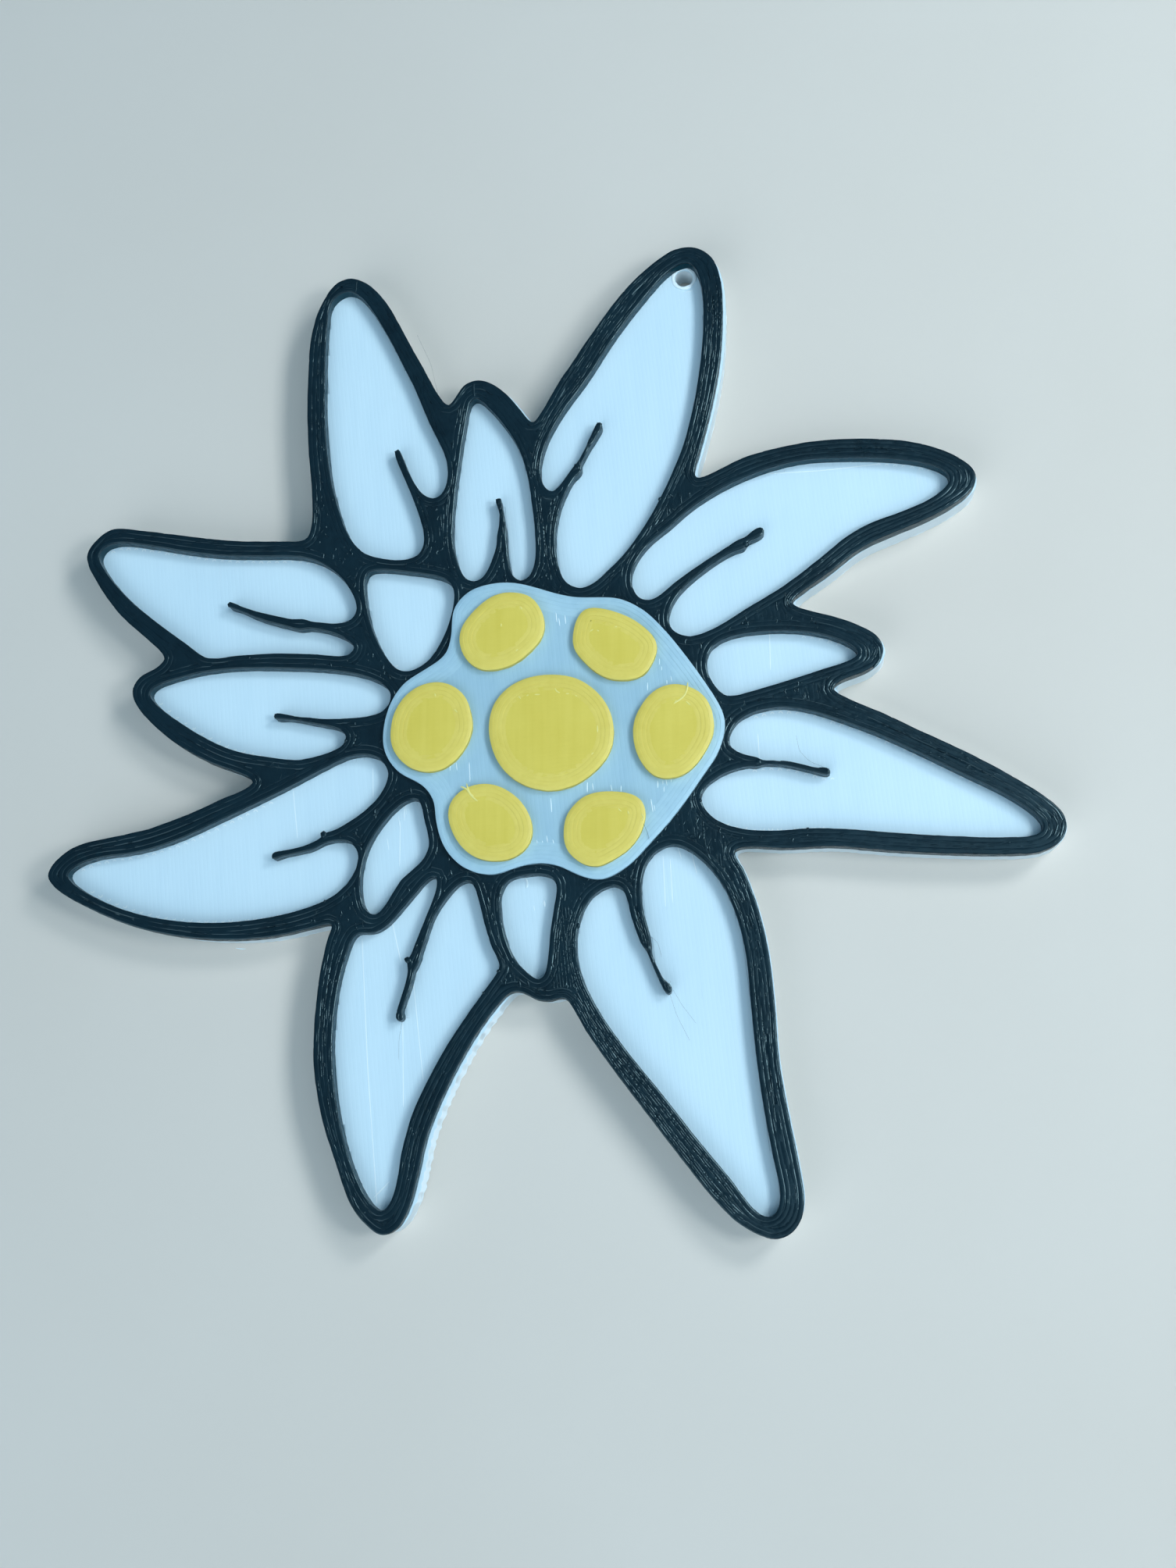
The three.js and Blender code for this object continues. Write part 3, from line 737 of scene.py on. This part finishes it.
# thin broken ridges between the beads; each leans a little towards +X, the short ones are arched
ridge = {
    "width": 0.16, "height": 0.09, "shoulder": 0.02, "lift": 0.01, "arch": 0.03, "step": 0.13,
    "length": (3, 12), "thickness": (0.6, 1.2), "leanTo": (0.33, 0.06), "leanShare": (0.4, 1.6),
    "depths": (0.3, 0.52, 0.72, 0.95), "wander": 0.02, "overlap": 0.1,
    "fillSpacing": 0.31, "fillGap": 0.9, "fillReach": 27,
    # small bent bits pressed into the filled places
    "curlBox": (-24, 27, -27, 24), "curlCount": 300, "curlReach": (0.12, 0.34),
    "curlBend": (-1.3, 1.3), "curlThickness": (0.8, 2), "curlLean": (0.9, 1.5), "curlStep": 0.09,
    "curlGap": 0.5, "curlLift": 0.035, "arcLift": 0.02,
    "zones": [  # box and share of the length that carries ridges
        ((44, 52, -16, -7), 0.3), ((30, 37, 3, 10), 0.3), ((40, 46, 20, 28), 0.3),
        ((18, 28, -50, -39), 0.1), ((1, 19, -50, -20), 0.9), ((14, 28, -39, -8), 0.4),
        ((22, 52, -16, 8), 0.3), ((15, 45, 10, 30), 0.4), ((-2, 22, 14, 52), 0.45),
        ((-24, -2, 18, 48), 0.3), ((-26, 0, -50, -18), 0.35), ((-52, -20, -24, 22), 0.15)],
    "arcs": [  # wider pressed spots at tips and seams: path, width factor, lean
        ([(47, -8.7), (48.1, -9.5), (49.3, -10.6), (49.85, -11.8), (49.4, -13.2)], 2.6, 0.75),
        ([(48.9, -11.1), (49.3, -11.9), (48.9, -12.9)], 1.6, 0.75),
        ([(32.5, 6.9), (33.1, 6), (33.1, 4.9), (32.4, 4)], 1.8, 0.8),
        ([(31.6, 6.6), (32.1, 5.9), (32.1, 5.1), (31.5, 4.5)], 1.6, 0.8),
        ([(41.9, 24.6), (42.3, 24), (42.4, 23), (41.9, 22)], 1.6, 0.75),
        ([(41.5, 24.2), (41.8, 23.5), (41.6, 22.7)], 1.4, 0.75),
        ([(-7.4, 35.7), (-7.3, 34.3)], 2.4, 1.45), ([(-7, 34.6), (-5.4, 33.4)], 0.8, 1.4),
        ([(-20, 48), (-20.1, 46.6)], 0.9, 1.6), ([(8.2, -17.9), (8.9, -17.7)], 1, 1),
        ([(-13.9, 24.4), (-13.1, 23.7)], 1, 1)]}


def leaning(points, heights, factors, share):
    # one ridge, rolled so that it leans towards +X
    along = np.gradient(points, axis=0)
    along /= np.maximum(np.hypot(along[:, 0], along[:, 1]), 1e-6)[:, None]
    leanX, leanY = ridge["leanTo"]
    roll = share * (leanX * along[:, 1] - leanY * along[:, 0])
    return raised(points, heights), factors, False, roll


def leaningRidges(points):
    ridges, at = [], 0
    while at < len(points) - 3:
        piece = points[at:at + dice.randint(*ridge["length"])]
        count = len(piece)
        x, y = piece[0]
        shares = [
            share for (x0, x1, y0, y1), share in ridge["zones"] if x0 < x < x1 and y0 < y < y1]
        if count > 2 and shares and dice.random() < shares[0]:
            arch = ridge["arch"] * min(1, 5 / count) * (1 - np.linspace(-1, 1, count) ** 2)
            factors = dice.uniform(*ridge["thickness"]) * tapered(count, 0.2)
            share = dice.uniform(*ridge["leanShare"])
            ridges.append(leaning(piece, drawingTop + ridge["lift"] + arch, factors, share))
        at += count
    return ridges


def pressedCurl(x, y):
    reach, turn = dice.uniform(*ridge["curlReach"]), dice.gauss(1.6, 0.6)
    bend = dice.uniform(*ridge["curlBend"])
    low, high = [
        (x + side * reach * math.cos(turn + side * bend),
         y + side * reach * math.sin(turn + side * bend), 0)
        for side in (-1, 1)]
    points = curved([low, (x, y, 0), high], ridge["curlStep"])[:, :2]
    factors = dice.uniform(*ridge["curlThickness"]) * tapered(len(points), 0.2)
    lean = dice.uniform(*ridge["curlLean"])
    return leaning(points, drawingTop + ridge["curlLift"], factors, lean)


runs = []
for loop in drawingLoops:
    edge = resampled(loop, ridge["step"], 1)
    wave = ridge["wander"] * ripple(len(edge), len(edge) * 0.04, 7)[:, None]
    for depth in ridge["depths"]:
        points = edge + inwards(edge) * depth
        points += inwards(edge) * wave
        keep = np.array([gapTo(p) > depth - ridge["overlap"] for p in points])
        for stretch, closed in brokenRuns(points, keep, True):
            runs += leaningRidges(stretch)
for number, a, b in hatch(drawingLoops, ridge["fillSpacing"], lineAcross, lineAlong):
    count = max(2, int(np.hypot(*(b - a)) / ridge["step"]))
    points = a + (b - a) * np.linspace(0, 1, count)[:, None]
    keep = np.array([
        gapTo(p) > ridge["fillGap"] and np.hypot(*p) < ridge["fillReach"] for p in points])
    keep &= ~inside(discLoop, points)
    for stretch, closed in brokenRuns(points, keep, False):
        runs += leaningRidges(stretch)
curls = 0
while curls < ridge["curlCount"]:
    x0, x1, y0, y1 = ridge["curlBox"]
    x, y = dice.uniform(x0, x1), dice.uniform(y0, y1)
    if onBlack(x, y, ridge["curlGap"]):
        runs.append(pressedCurl(x, y))
        curls += 1
for path, width, lean in ridge["arcs"]:
    points = curved([(x, y, 0) for x, y in path], ridge["step"])[:, :2]
    factors = width * tapered(len(points), 0.3)
    runs.append(leaning(points, drawingTop + ridge["arcLift"], factors, lean))
ridges = finishedPiece(
    "drawing_ridges",
    laidBeads(runs, ridge["width"], ridge["height"], ridge["shoulder"], True), blackPla)
print("ridges:", len(runs))

# threads, scuffs, sparks and lumps left on the black drawing
top = drawingTop
drips = {
    "width": 0.09, "height": 0.07, "shoulder": 0.03, "threadWidth": 0.14,
    "threads": [
        [(11.9, -26.3, top), (13.2, -28.6, 3.5), (14.5, -30.3, 2.9)],
        [(11.9, -27, top), (12.7, -29.6, 3.6), (13.9, -32, 2.9)],
        [(10.2, -22, top), (11, -22.6, 4.3), (11.3, -24, 3.2)],
        [(12, -26.3, top), (12.3, -26.2, top + 0.1), (12.3, -26.6, top + 0.1), (12, -26.6, top)],
        [(-13.7, -29.5, top), (-14.2, -31.5, 3.5), (-14.3, -33.5, 2.9)],
        [(-13.6, -29.6, top), (-13.15, -29.5, 3.6)],
        [(24.7, -2.5, top), (25, -4, 3.6), (26, -5, 3.1), (27.3, -5.5, 2.9)],
        [(27.1, -5.3, 2.95), (27.4, -5.8, 2.9)],
        [(-1.2, -26.1, top), (-0.4, -25.8, top + 0.1), (0.4, -25.3, top)],
        [(-13.5, 41.5, top - 0.1), (-12, 38.2, top - 0.2), (-11.2, 34.7, top - 0.1)]],
    "scuffs": [  # box and how many
        (11.5, 14.8, 19, 24, 9), (24, 25, 9.5, 12, 5), (24.8, 28, 0.5, 2.5, 8),
        (-28, -24.5, -6.8, -4, 9), (-20, -17, -21, -17, 9), (15, 18, -14, -9, 9),
        (-9, -4, 22, 30, 12), (-22, -16, 8, 20, 14)],
    "lumps": [
        (15.3, -8.8), (25.6, -11.88), (3.3, -20.9), (-5.86, -27.26), (-4.42, -25.18),
        (-19.68, -23.91), (-21.7, -18.1), (-19.99, -1.94), (-30.2, 7.0), (11.7, 22.3),
        (-4.4, -17.8)],
    "lumpWidth": (0.13, 0.19), "lumpHeight": 0.14, "lumpStretch": (1, 1.7), "lumpSunk": 0.08,
    "nodes": [(3.3, 26.1), (20.2, 17.2), (21, -5.1), (-13.3, -24), (-22.02, -11.45)],
    "nodeWidth": 0.34, "nodeHeight": 0.17, "nodeStretch": 1.2, "nodeSunk": 0.12,
    # all runs together; the sparks' middle, spread, half lengths and thickness
    "markCount": 620, "sparkCentre": (1, -2), "sparkReach": 24, "sparkHalves": (0.06, 0.1, 0.25),
    "sparkWidth": 1.2, "sparkGap": 0.15, "scuffReach": (0.15, 0.5), "scuffGap": 0.2}
runs = []
for thread in drips["threads"]:
    runs.append(strand(thread, 0.2, drips["threadWidth"]))
for x0, x1, y0, y1, count in drips["scuffs"]:
    for _ in range(count):
        x, y, turn = dice.uniform(x0, x1), dice.uniform(y0, y1), dice.gauss(1.7, 0.5)
        if onBlack(x, y, drips["scuffGap"]):
            reach = dice.uniform(*drips["scuffReach"])
            dx, dy = np.array([math.cos(turn), math.sin(turn)]) * reach
            ends = [(x - dx, y - dy, top + 0.005), (x + dx, y + dy, top + 0.012)]
            runs.append(strand(ends, 0.25))
while len(runs) < drips["markCount"]:
    reach, around = drips["sparkReach"] * dice.random() ** 0.6, dice.uniform(0, 2 * math.pi)
    middleX, middleY = drips["sparkCentre"]
    x, y = middleX + reach * math.cos(around), middleY + reach * math.sin(around)
    if onBlack(x, y, drips["sparkGap"]):
        turn, half = dice.gauss(around, 0.6), dice.choice(drips["sparkHalves"])
        ends = [(x - half * math.cos(turn), y - half * math.sin(turn), top + 0.01),
                (x + half * math.cos(turn), y + half * math.sin(turn), top + 0.02)]
        runs.append(strand(ends, 0.25, drips["sparkWidth"]))
drawingMarks = finishedPiece(
    "drawing_marks",
    laidBeads(runs, drips["width"], drips["height"], drips["shoulder"], True), blackPla)
spots = [
    (x, y, top - drips["lumpSunk"], dice.uniform(*drips["lumpWidth"]), drips["lumpHeight"],
     dice.uniform(*drips["lumpStretch"]), dice.uniform(0, 180))
    for x, y in drips["lumps"]]
spots += [
    (x, y, top - drips["nodeSunk"], drips["nodeWidth"], drips["nodeHeight"],
     drips["nodeStretch"], dice.uniform(0, 180))
    for x, y in drips["nodes"]]
droplets("drawing_lumps", spots, blackPla)
print("threads and lumps:", len(runs), len(spots))

disc = {
    "step": 0.4, "groove": 0.03, "edgeRound": 0.06, "foot": 0.0, "wander": 0.012,
    "wanderWaves": 0.2, "seed": 700, "skin": 0.05, "sunk": 0.06,
    "spacing": 0.42, "width": 0.45, "height": 0.08, "ringShoulder": 0.012, "ringStep": 0.38,
    "rings": 5, "rimDrop": 0.055, "rimRoll": 0.3, "ringOverlap": 0.17,
    "lineSpacing": 0.41, "lineShoulder": 0.008, "stagger": 0.004, "lineKnots": 1.6,
    "lineLap": 0.25, "lineUneven": 0.001, "endLength": 0.3, "endDrop": 0.02,
    "across": lineAcross, "along": lineAlong}
floret = dict(
    disc, seed=800, rings=4, lineShoulder=0.005, rimDrop=0.06, rimRoll=0.28, edgeRound=0.1,
    stagger=0.003, along=lineAcross, across=lineAlong)


def toppedLayer(node, settings, material, rimGlowMaterial):
    # a thin printed layer: walls, rings that follow its edge, then straight lines; the walls and
    # rings wear the rim material, painted lighter as a glow
    low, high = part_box(node)
    bottom, top = low.z / mm, high.z / mm
    loop = rimLoops(node)[0]
    wallTop = top - settings["skin"] - settings["rimDrop"]
    walls = newPiece(
        node + "_body",
        stackedWalls(
            [resampled(loop, settings["step"])], bottom - settings["sunk"], wallTop, settings),
        rimGlowMaterial)
    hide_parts(node)
    gap = nearness([loop])
    edge = resampled(loop, settings["ringStep"])
    runs = []
    for ring in range(settings["rings"]):
        depth = settings["spacing"] * (ring + 0.5)
        points = edge + inwards(edge) * depth
        keep = np.array([gap(p) > depth - settings["ringOverlap"] for p in points])
        for stretch, closed in brokenRuns(points, keep, True):
            count = len(stretch)
            height = top + 0.003 * ripple(count, count * 0.15, settings["seed"] + ring) - 0.003
            height = height - (settings["rimDrop"] if ring == 0 else 0.004 * (ring % 2))
            factors = 1 + 0.02 * ripple(count, 5, ring)
            roll = np.full(count, settings["rimRoll"] / (1 + 2 * ring))  # the rim falls away
            runs.append((raised(stretch, height), factors, closed, roll))
    rings = finishedPiece(
        node + "_rings",
        laidBeads(runs, settings["width"], settings["height"], settings["ringShoulder"]),
        rimGlowMaterial)
    runs = []
    reach = settings["spacing"] * settings["rings"] - settings["lineLap"]
    field = edge + inwards(edge) * reach
    field = field[np.array([gap(p) > reach - settings["ringOverlap"] for p in field])]
    for number, a, b in hatch(
            [field], settings["lineSpacing"], settings["across"], settings["along"]):
        length = max(1.0, float(np.hypot(*(b - a))))
        end = settings["endLength"] / length
        at = np.linspace(end, 1 - end, max(3, int(length / settings["lineKnots"])))
        at = np.concatenate([[0], at, [1]])
        count = len(at)
        line = a + (b - a) * at[:, None]
        height = top - 0.001 - (settings["stagger"] if number % 2 else 0)
        height = height + np.array(
            [dice.gauss(0, settings["lineUneven"]) for _ in range(count)])
        height[[0, -1]] -= settings["endDrop"]
        runs.append((raised(line, height), np.ones(count), False))
    lines = finishedPiece(
        node + "_lines",
        laidBeads(runs, settings["width"], settings["height"], settings["lineShoulder"]),
        material)
    return top


discTop = toppedLayer("centre_disc", disc, discPla, discRimGlowPla)
for node in sorted(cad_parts):
    if node.startswith("floret"):
        floret["seed"] += 37
        floretTop = toppedLayer(node, floret, yellowPla, yellowRimGlowPla)

# short threads where the nozzle lifted off the disc and the florets
discMarks = {
    "width": 0.1, "height": 0.07, "shoulder": 0.03,
    "paths": [
        [(-8.7, -4.6), (-8.6, -5.4)], [(-7.4, -4.6), (-7.3, -6.6)], [(-9.3, -4.6), (-9.3, -5.4)],
        [(11.5, 5.4), (11.5, 4.8)], [(11.7, 4.6), (11.7, 4.2)], [(12.2, 3.2), (12.2, 2.8)],
        [(12.6, 3.6), (12.7, 3)], [(11.2, -6.9), (11.2, -7.6)], [(11.7, -6.9), (11.7, -7.3)],
        [(12, -6.8), (12.1, -7.4)], [(12.5, -6.8), (12.5, -7.1)], [(11.8, -7.5), (11.8, -8)],
        [(4.3, -6.9), (4.3, -7.9)], [(4.8, -7), (4.9, -7.7)], [(6.6, -7.2), (6.7, -7.8)],
        [(7.6, -7.3), (7.6, -7.9)], [(10.5, -8.7), (10.7, -10)], [(10.8, -9.3), (10.9, -9.9)],
        [(-0.7, -12.5), (-0.6, -12.9)], [(-0.1, -12.6), (-0.1, -12.8)],
        [(0.3, -12.1), (0.4, -12.8)], [(0.9, -12.5), (1, -12.9)], [(1.2, 10.5), (1.3, 9.5)],
        [(1.5, 9.9), (1.6, 9.1)], [(2.1, 10.2), (2.2, 9.3)], [(10.3, 3), (10.3, 2.2)],
        [(0.7, -8.4), (0.8, -9.8)]]}
floretMarks = {
    "width": 0.17, "height": 0.09, "shoulder": 0.04,
    "paths": [
        [(14.3, 2.7), (14.2, 1.9), (14, 1.4), (13.4, 0.9), (12.9, 0.6)], [(13, 0.8), (13.3, 0.9)],
        [(14.1, 0.8), (14.5, 0.4)], [(-8.1, -7.2), (-7.5, -7.4), (-7.1, -8.1), (-6.4, -8.7)],
        [(-7.5, -6.9), (-7.3, -7.8), (-6.8, -8.2)], [(1.2, 2.5), (1.3, 2.1), (1.7, 2)],
        [(-2.4, 1.8), (-2.2, 1.5)], [(-1.6, 1.8), (-1.4, 1.9)], [(-0.8, 1.9), (-0.3, 1.9)],
        [(2.3, 1.9), (2.6, 1.9)], [(3.2, 1.7), (3.4, 1.6)], [(-4.2, 9.3), (-4.2, 9)],
        [(-2.3, 11), (-2.1, 10.7)], [(-2.7, 6.4), (-2.5, 6.6)], [(4.7, 8.2), (5, 8.4)],
        [(5.4, 8.3), (5.6, 8.2)], [(7.2, 8.6), (7.4, 8.6)], [(7.4, -9.7), (7.4, -10), (7.7, -10)],
        [(8.3, -10), (8.4, -10.3)], [(9.6, -10.3), (9.9, -10.5), (9.8, -11), (9.6, -10.9)],
        [(-10.8, 2.3), (-10.7, 2)], [(-8.8, 0.6), (-8.5, 0.3)], [(5.4, -1.4), (5.4, -2.1)],
        [(4.8, -4.3), (5, -4.1)]]}
# the threads on the disc and the florets wear the lighter string colours, painted highlights
for name, marks, height, material, slot in (
        ("centre_disc_marks", discMarks, discTop, whiteStringHighlightPla, "disc_plastic"),
        ("floret_marks", floretMarks, floretTop, yellowStringHighlightPla, "yellow_plastic")):
    runs = []
    for path in marks["paths"]:
        runs.append(strand([(x, y, height + 0.025) for x, y in path], 0.15))
    strands = finishedPiece(
        name, laidBeads(runs, marks["width"], marks["height"], marks["shoulder"]), material)
looseThread = {  # a fine dark hair from a floret down to the drawing
    "path": [(9.7, -10.8, floretTop), (9.9, -11.5, 5.3), (10.2, -12.1, 4.95), (10.3, -12.7, 4.85)],
    "step": 0.2, "width": 0.03, "height": 0.03, "shoulder": 0.01}
runs = [strand(looseThread["path"], looseThread["step"])]
darkHair = finishedPiece(
    "loose_thread",
    laidBeads(runs, looseThread["width"], looseThread["height"], looseThread["shoulder"]),
    blackPla)
print("disc and florets made")

card = {
    "size": 1.5, "drop": 0.00003, "roughness": 0.8, "clouds": 12.0,
    "dark": "d5cdc4", "pale": "dad3cb"}
floorMaterial = bpy.data.materials.new("paleMattCard")
floorMaterial.use_nodes = True
floorTree = floorMaterial.node_tree
cloud = addNode(
    floorTree, "ShaderNodeTexNoise", {"Scale": card["clouds"], "Detail": 4.0},
    {"Vector": addNode(floorTree, "ShaderNodeTexCoord").outputs["Object"]})
cardColour = rampNode(
    floorTree, cloud.outputs["Fac"], [(0.3, linear(card["dark"])), (0.7, linear(card["pale"]))])
floorShader = floorTree.nodes["Principled BSDF"]
floorShader.inputs["Roughness"].default_value = card["roughness"]
floorTree.links.new(cardColour.outputs["Color"], floorShader.inputs["Base Color"])
bm = bmesh.new()
lowered = Matrix.Translation((0, 0, -card["drop"]))
bmesh.ops.create_grid(bm, x_segments=2, y_segments=2, size=card["size"], matrix=lowered)
floorMesh = bpy.data.meshes.new("floor")
bm.to_mesh(floorMesh)
bm.free()
floorMesh.materials.append(floorMaterial)
floor = bpy.data.objects.new("floor", floorMesh)
bpy.context.scene.collection.objects.link(floor)
floor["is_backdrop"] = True

light = {
    "skyLow": "6a9cbc", "skyHigh": "b9e0f5", "skyStrength": 0.48,
    "skyTowards": (0.62, -0.2, 0.75), "skyFrom": 0.1,
    "keyPlace": (0.27, 0.0, 0.42), "keySize": 0.65, "keyPower": 0.1,
    "keyColour": (0.87, 0.95, 1.0),
    "panelPlace": (0.52, -0.12, 0.9), "panelSize": 1.1, "panelPower": 2.65,
    "panelColour": (0.64, 0.85, 1.0),
    "fillPlace": (-0.3, -0.5, 0.5), "fillSize": 0.6, "fillPower": 2.25,
    "fillColour": (0.8, 0.92, 1.0),
    "sparkPlace": (0.225, 0.135, 0.27), "sparkSize": 0.09, "sparkPower": 0.42,
    "sparkColour": (0.87, 0.96, 1.0),
    "glintPlace": (0.255, -0.03, 0.29), "glintSize": 0.09, "glintPower": 0.45,
    "glintColour": (0.87, 0.96, 1.0)}
world = bpy.data.worlds.new("softStudio")
bpy.context.scene.world = world
world.use_nodes = True
skyTree = world.node_tree
direction = addNode(skyTree, "ShaderNodeTexCoord").outputs["Generated"]
towards = addNode(skyTree, "ShaderNodeVectorMath", {"operation": "DOT_PRODUCT"})
towards.inputs[1].default_value = light["skyTowards"]
skyTree.links.new(direction, towards.inputs[0])
spread = addNode(
    skyTree, "ShaderNodeMapRange", {"From Min": light["skyFrom"], "From Max": 1.0},
    {"Value": towards.outputs["Value"]})
sky = rampNode(
    skyTree, spread.outputs["Result"],
    [(0, linear(light["skyLow"])), (1, linear(light["skyHigh"]))])
background = skyTree.nodes["Background"]
background.inputs["Strength"].default_value = light["skyStrength"]
skyTree.links.new(sky.outputs["Color"], background.inputs["Color"])
for part in ("key", "panel", "fill", "spark", "glint"):
    lamp = bpy.data.lights.new(part + "Softbox", "AREA")
    lamp.shape = "SQUARE"
    lamp.size = light[part + "Size"]
    lamp.energy = light[part + "Power"]
    lamp.color = light[part + "Colour"]
    softbox = bpy.data.objects.new(part + "Softbox", lamp)
    softbox.location = light[part + "Place"]
    softbox.rotation_euler = (-Vector(light[part + "Place"])).to_track_quat("-Z", "Y").to_euler()
    bpy.context.scene.collection.objects.link(softbox)

cameraSet = {  # place in millimetres
    "place": (20.93, -42.95, 175.9), "right": (0.99528, -0.00338, -0.09704),
    "up": (0.02312, 0.97890, 0.20304), "back": (0.09430, -0.20432, 0.97435),
    "lens": 41.24, "sensor": 36, "clip": 0.005}
cameraData = bpy.data.cameras.new("camera")
cameraData.lens = cameraSet["lens"]
cameraData.sensor_width = cameraSet["sensor"]
cameraData.clip_start = cameraSet["clip"]
camera = bpy.data.objects.new("camera", cameraData)
axes = Matrix((cameraSet["right"], cameraSet["up"], cameraSet["back"])).transposed()
camera.matrix_world = Matrix.Translation(Vector(cameraSet["place"]) * mm) @ axes.to_4x4()
bpy.context.scene.collection.objects.link(camera)
bpy.context.scene.camera = camera
bpy.context.scene.view_settings.view_transform = "Standard"
print("floor, light and camera set")

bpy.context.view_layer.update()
meshes = [piece.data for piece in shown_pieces() if piece.type == "MESH"]
print("triangles:", sum(len(face.vertices) - 2 for mesh in meshes for face in mesh.polygons))
